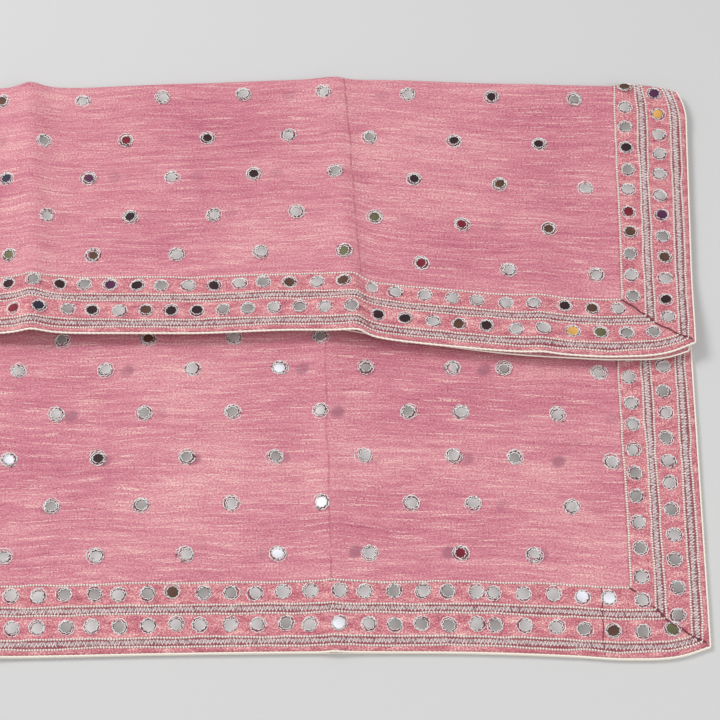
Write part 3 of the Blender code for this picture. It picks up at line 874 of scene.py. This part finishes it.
def band_material(name, shift):
    """The border's silk: woven speckle over rose, and two darker stripes at set distances from the edge,
    partly maroon ground and partly painted shade under the zigzag threads.
    """
    made, tree, shader = principled(name, Roughness=0.55, Specular_IOR_Level=0.22, Sheen_Weight=0.06)
    uv = node(tree, "ShaderNodeUVMap", uv_map="cut").outputs[0]
    axes = node(tree, "ShaderNodeSeparateXYZ", {"Vector": uv})
    edge = maths(tree, "MINIMUM", axes.outputs[0], axes.outputs[1])
    weave = stretched_noise(tree, uv, 700, 760, 1, shift)
    cloud = stretched_noise(tree, uv, 60, 150, 2, shift)
    total = maths(tree, "MULTIPLY_ADD", cloud, 0.7, maths(tree, "MULTIPLY_ADD", weave, 1.1, -0.40))
    colour = ramp(tree, total, BAND_STOPS)
    for low, high in STRIPES:
        rise = clamp_step(tree, edge, (low - 0.3) * MM, (low + 0.5) * MM)
        fall = clamp_step(tree, edge, (high - 0.5) * MM, (high + 0.3) * MM)
        stripe = maths(tree, "MULTIPLY", maths(tree, "SUBTRACT", rise, fall), STRIPE_SHARE)
        colour = mixed(tree, stripe, colour, STRIPE_GROUND_AND_SHADE_COLOUR)
    tree.links.new(colour, shader.inputs["Base Color"])
    bump = node(tree, "ShaderNodeBump", {"Height": total, "Strength": 0.35, "Distance": 0.8 * MM})
    tree.links.new(bump.outputs[0], shader.inputs["Normal"])
    return made


def band(name, lay, top, along_hem, finish):
    """One border band as a sheet: rows from the edge to the inner side, columns out from the mitre."""
    rows = spread((BAND_INSET, BORDER, BAND_ROW_STEP))[:, None]
    reach = FLAT_LENGTH + half_turn if along_hem else top
    share = np.linspace(0, 1, round(reach / BAND_COLUMN_STEP) + 1)[None, :]
    far = rows + share * (reach - rows)
    s, t = np.broadcast_arrays(*((far, rows) if along_hem else (rows, far)))
    points = lay(s, t, BAND_LIFT)
    uv = np.stack([s, t], -1)
    piece = add_mesh(name, points, grid_faces(len(rows), points.shape[1], flip=not along_hem), finish, uv)
    thicken(piece, BAND_WALL)
    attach(piece, "root")
    return piece


flap_band_silk = band_material("flap_band_silk", 0.0)
panel_band_silk = band_material("panel_band_silk", 2.0)
bands = {
    "flap_hem_band": band("flap_hem_band", lay_flap, 0, True, flap_band_silk),
    "flap_end_band": band("flap_end_band", lay_flap, FLAP_FLAT + ROLL_R * 2.1, False, flap_band_silk),
    "panel_hem_band": band("panel_hem_band", lay_panel, 0, True, panel_band_silk),
    "panel_end_band": band("panel_end_band", lay_panel, PANEL_DEPTH, False, panel_band_silk),
}
for name, piece in bands.items():
    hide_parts(name.replace("band", "border"))

# ---- Braids, zigzags and edge cords ----
# Five lines of cream beaded cord and two stripes of silver zigzag thread run along every border and turn at
# its mitre; a twisted cream cord finishes the edge.
BRAID_LINES = (6.4, 14.6, 35.5, 43.3, 63.3)
ZIGZAG_LINES = (10.5, 39.4)
BEAD = 2.3 * MM
BEAD_POINTS = 3
BEAD_RADII = np.array([0.50, 1.08, 1.02]) * MM
# Colours at a bead's three points: a darker pink waist between beads, partly the cloth between them and
# partly painted shade, then two creams.
BEAD_TONES = np.array([srgb(176, 118, 112), srgb(255, 252, 246), srgb(255, 244, 232)])
BRAID_TOP = 1.45 * MM
BRAID_SIDES = 4
ZIGZAG_TOP = 1.35 * MM
ZIGZAG_STEP = 1.5 * MM
ZIGZAG_REACH = 2.6 * MM
ZIGZAG_RADII = [0.38 * MM, 0.24 * MM]
ZIGZAG_UNEVEN = (0.7, 1.15)
LEG_SHARES = np.array([0, 0.22, 0.78])[:, None]
SLOW_STRAY = 0.8 * MM
QUICK_STRAY = 0.35 * MM
CORD_LINE = 0.8 * MM
CORD_R = 0.95 * MM
CORD_SIDES = 8
CORD_PITCH = 4.2 * MM
CORD_STEP = 1.05 * MM
STRAND_SWELL = 0.24
UNDER_CORD_R = 0.8 * MM
SEAM_SIDES = 6
MITRE_SEAM_LIFT, MITRE_SEAM_R = 1.5 * MM, 0.8 * MM
# Distances along the mitre between which its seam shows; the mirror on the panel's mitre hides a part of it.
MITRE_SEAMS = {"flap": ((4 * MM, BORDER),), "panel": ((4 * MM, 46 * MM), (60 * MM, 64.5 * MM))}
BORDER_SEAM_S = 88 * MM
BORDER_SEAM_LIFT, BORDER_SEAM_R = 1.2 * MM, 0.55 * MM


def edge_route(line, top, step):
    """Places (s, t) from the halfway fold along the hem to the mitre, then up the cut end."""
    hem_run = np.linspace(FLAT_LENGTH + half_turn * 0.9, line, round((FLAT_LENGTH - line) / step))
    end_run = np.linspace(line, top, round((top - line) / step))[1:]
    s = np.concatenate([hem_run, np.full(len(end_run), line)])
    t = np.concatenate([np.full(len(hem_run), line), end_run])
    return np.stack([s, t], 1)


def wandering(route, seed):
    """A route that strays a little to either side, as couched cord does."""
    rng = np.random.default_rng(seed)
    run = np.arange(len(route)) * BEAD / BEAD_POINTS
    stray = SLOW_STRAY * noise(run / (24 * MM), np.full(len(run), rng.uniform(0, 50)), seed)
    stray += QUICK_STRAY * noise(run / (7 * MM), np.full(len(run), rng.uniform(0, 50)), seed + 1)
    return route + stray[:, None]


def add_line(name, lay, routes, lift, radius, sides, finish):
    """Tubes along routes on the laid cloth; routes and radius are given route by route."""
    parts, faces, start = [], [], 0
    for route, r in zip(routes, radius):
        point, _, _, out = surface_frame(lay, route, lift)
        parts.append(sweep(point[None], out[None], r, sides).reshape(-1, 3))
        own = tube_faces(1, len(route), sides, False)
        faces += [[corner + start for corner in face] for face in own]
        start += len(parts[-1])
    piece = add_mesh(name, np.concatenate(parts), faces, finish)
    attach(piece, "root")
    return piece


def zigzag(route, half_width, phase, wobble_seed):
    """A thread's turns to either side of its route, with two points on each leg between them."""
    wobble = np.random.default_rng(wobble_seed).uniform(*ZIGZAG_UNEVEN, len(route))
    swing = np.where((np.arange(len(route)) + phase) % 2, half_width, -half_width) * wobble
    turned = np.gradient(route, axis=0)
    turned /= np.linalg.norm(turned, axis=1, keepdims=True)
    turns = route + swing[:, None] * np.stack([-turned[:, 1], turned[:, 0]], 1)
    return (turns[:-1, None] + LEG_SHARES * (turns[1:] - turns[:-1])[:, None]).reshape(-1, 2)


def twist(route, radius, sides, pitch, step):
    """Radius of a two-strand twisted cord round and along its route."""
    angle = np.arange(sides) * 2 * math.pi / sides
    run = np.arange(len(route)) * step
    turned = 2 * angle[None, :] - 2 * math.pi * run[:, None] / pitch
    return (radius * (1 + STRAND_SWELL * np.cos(turned)))[None]


cream_braid = toned_material("cream_braid", Roughness=0.5)
zigzag_thread = toned_material("zigzag_thread", Roughness=0.4)
edge_cord, _, _ = principled("edge_cord", Base_Color=srgb(250, 242, 228), Roughness=0.45)
# Dark colour of the seam tubes: painted shade of the overlapping seams.
painted_seam_shade, _, _ = principled("painted_seam_shade", Base_Color=srgb(118, 48, 62), Roughness=0.7)
rng = np.random.default_rng(61)
for label, lay, top in (
    ("flap", lay_flap, FLAP_FLAT + ROLL_R * 2.0),
    ("panel", lay_panel, PANEL_DEPTH - MM),
):
    routes = [wandering(edge_route(line * MM, top, BEAD / BEAD_POINTS), int(line)) for line in BRAID_LINES]
    counts = [np.arange(len(route)) % BEAD_POINTS for route in routes]
    radii = [BEAD_RADII[count][None, :, None] for count in counts]
    braids = add_line(
        label + "_braids", lay, routes, BRAID_TOP, radii, BRAID_SIDES, cream_braid
    )
    tones = np.concatenate([BEAD_TONES[count] for count in counts])
    tones[:, :3] *= rng.uniform(0.80, 1.0, (len(tones), 1))
    add_tones(braids, np.repeat(tones, BRAID_SIDES, axis=0))
    routes = []
    for line in ZIGZAG_LINES:
        base = edge_route(line * MM, top, ZIGZAG_STEP)
        routes += [zigzag(base, ZIGZAG_REACH, 0, 3), zigzag(base + 0.4 * MM, 0.7 * ZIGZAG_REACH, 1, 4)]
    radii = ZIGZAG_RADII * len(ZIGZAG_LINES)
    zigzags = add_line(label + "_zigzags", lay, routes, ZIGZAG_TOP, radii, 3, zigzag_thread)
    add_tones(zigzags, thread_tones(rng, sum(len(route) for route in routes), 3))
    route = edge_route(CORD_LINE, top, CORD_STEP)
    radius = [twist(route, CORD_R, CORD_SIDES, CORD_PITCH, CORD_STEP)]
    add_line(
        label + "_edge_cord", lay, [route], 0.2 * MM, radius, CORD_SIDES, edge_cord
    )
    seams = []
    for start, end in MITRE_SEAMS[label]:
        diagonal = np.linspace(start, end, 24)
        stray = 1.8 * MM * noise(diagonal / (6 * MM), np.full(24, 0.5), 71)
        seams.append(np.stack([diagonal, diagonal + stray], 1))
    radii = [MITRE_SEAM_R] * len(seams)
    add_line(
        label + "_mitre_seam", lay, seams, MITRE_SEAM_LIFT, radii, SEAM_SIDES, painted_seam_shade
    )

# A seam of the panel's border crosses its hem band where two lengths of it were joined; its dark tube is
# painted shade.
run = np.linspace(3 * MM, BORDER, 30)
stray = 1.2 * MM * noise(run / (9 * MM), np.full(30, 0.5), 73)
seam = np.stack([BORDER_SEAM_S + stray, run], 1)
radii = [BORDER_SEAM_R]
add_line(
    "panel_border_seam", lay_panel, [seam], BORDER_SEAM_LIFT, radii, SEAM_SIDES, painted_seam_shade
)


def lay_under_flap(s, t, lift=0.0):
    """The inner half's flap, face down under the outer one."""
    return lay_flap(s, t, lift, inner=True)


def lay_base(s, t, lift=0.0):
    """The outer half's lower panel, face down on the surface."""
    return lay_panel(s, t, lift, inner=False)


for label, lay, lift in (("under_flap", lay_under_flap, 0.0), ("under_panel", lay_base, -1.0 * MM)):
    route = edge_route(CORD_LINE, FLAP_FLAT, 3 * MM)
    add_line(
        label + "_edge_cord", lay, [route], lift, [UNDER_CORD_R], 6, edge_cord
    )

for label in ("flap", "panel", "under_flap", "under_panel"):
    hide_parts(label + "_cord")

# ---- Stage ----
# A pale floor under soft studio light, and the camera at the angle the stole is looked at from.
bpy.context.scene.view_settings.view_transform = "Standard"
FLOOR_HALF = 6.0
WORLD_STRENGTH = 0.51
floor_finish, _, _ = principled("pale_floor", Base_Color=(0.62, 0.62, 0.62, 1), Roughness=0.9)
corners = FLOOR_HALF * np.array([(-1, -1, 0), (1, -1, 0), (1, 1, 0), (-1, 1, 0)])
floor = add_mesh("floor", corners, [(0, 1, 2, 3)], floor_finish)


def add_light(name, place, aim, size, watts):
    """A square soft light turned to its aim."""
    lamp = bpy.data.lights.new(name, "AREA")
    lamp.size = size
    lamp.energy = watts
    made = bpy.data.objects.new(name, lamp)
    made.location = place
    towards = np.array(aim, float) - np.array(place, float)
    made.rotation_euler = Vector(towards).to_track_quat("-Z", "Y").to_euler()
    bpy.context.scene.collection.objects.link(made)


add_light("key_light", place=(-1.5, 0.95, 2.4), aim=(0.2, 0, 0), size=1.2, watts=52)
add_light("fill_light", place=(1.6, -1.2, 2.0), aim=(0.3, 0, 0), size=1.8, watts=22)
world = bpy.data.worlds.new("studio")
world.use_nodes = True
background = world.node_tree.nodes["Background"]
background.inputs["Color"].default_value = (1, 1, 1, 1)
background.inputs["Strength"].default_value = WORLD_STRENGTH
bpy.context.scene.world = world

LOOK_AT = (0.305, -0.011, 0.0)
ELEVATION = math.radians(60)
DISTANCE = 1.786
camera_data = bpy.data.cameras.new("camera")
camera_data.lens = 100
camera_data.sensor_width = 36
camera = bpy.data.objects.new("camera", camera_data)
camera.location = (
    LOOK_AT[0], LOOK_AT[1] - DISTANCE * math.cos(ELEVATION), LOOK_AT[2] + DISTANCE * math.sin(ELEVATION)
)
camera.rotation_euler = (math.pi / 2 - ELEVATION, 0, 0)
bpy.context.scene.collection.objects.link(camera)
bpy.context.scene.camera = camera
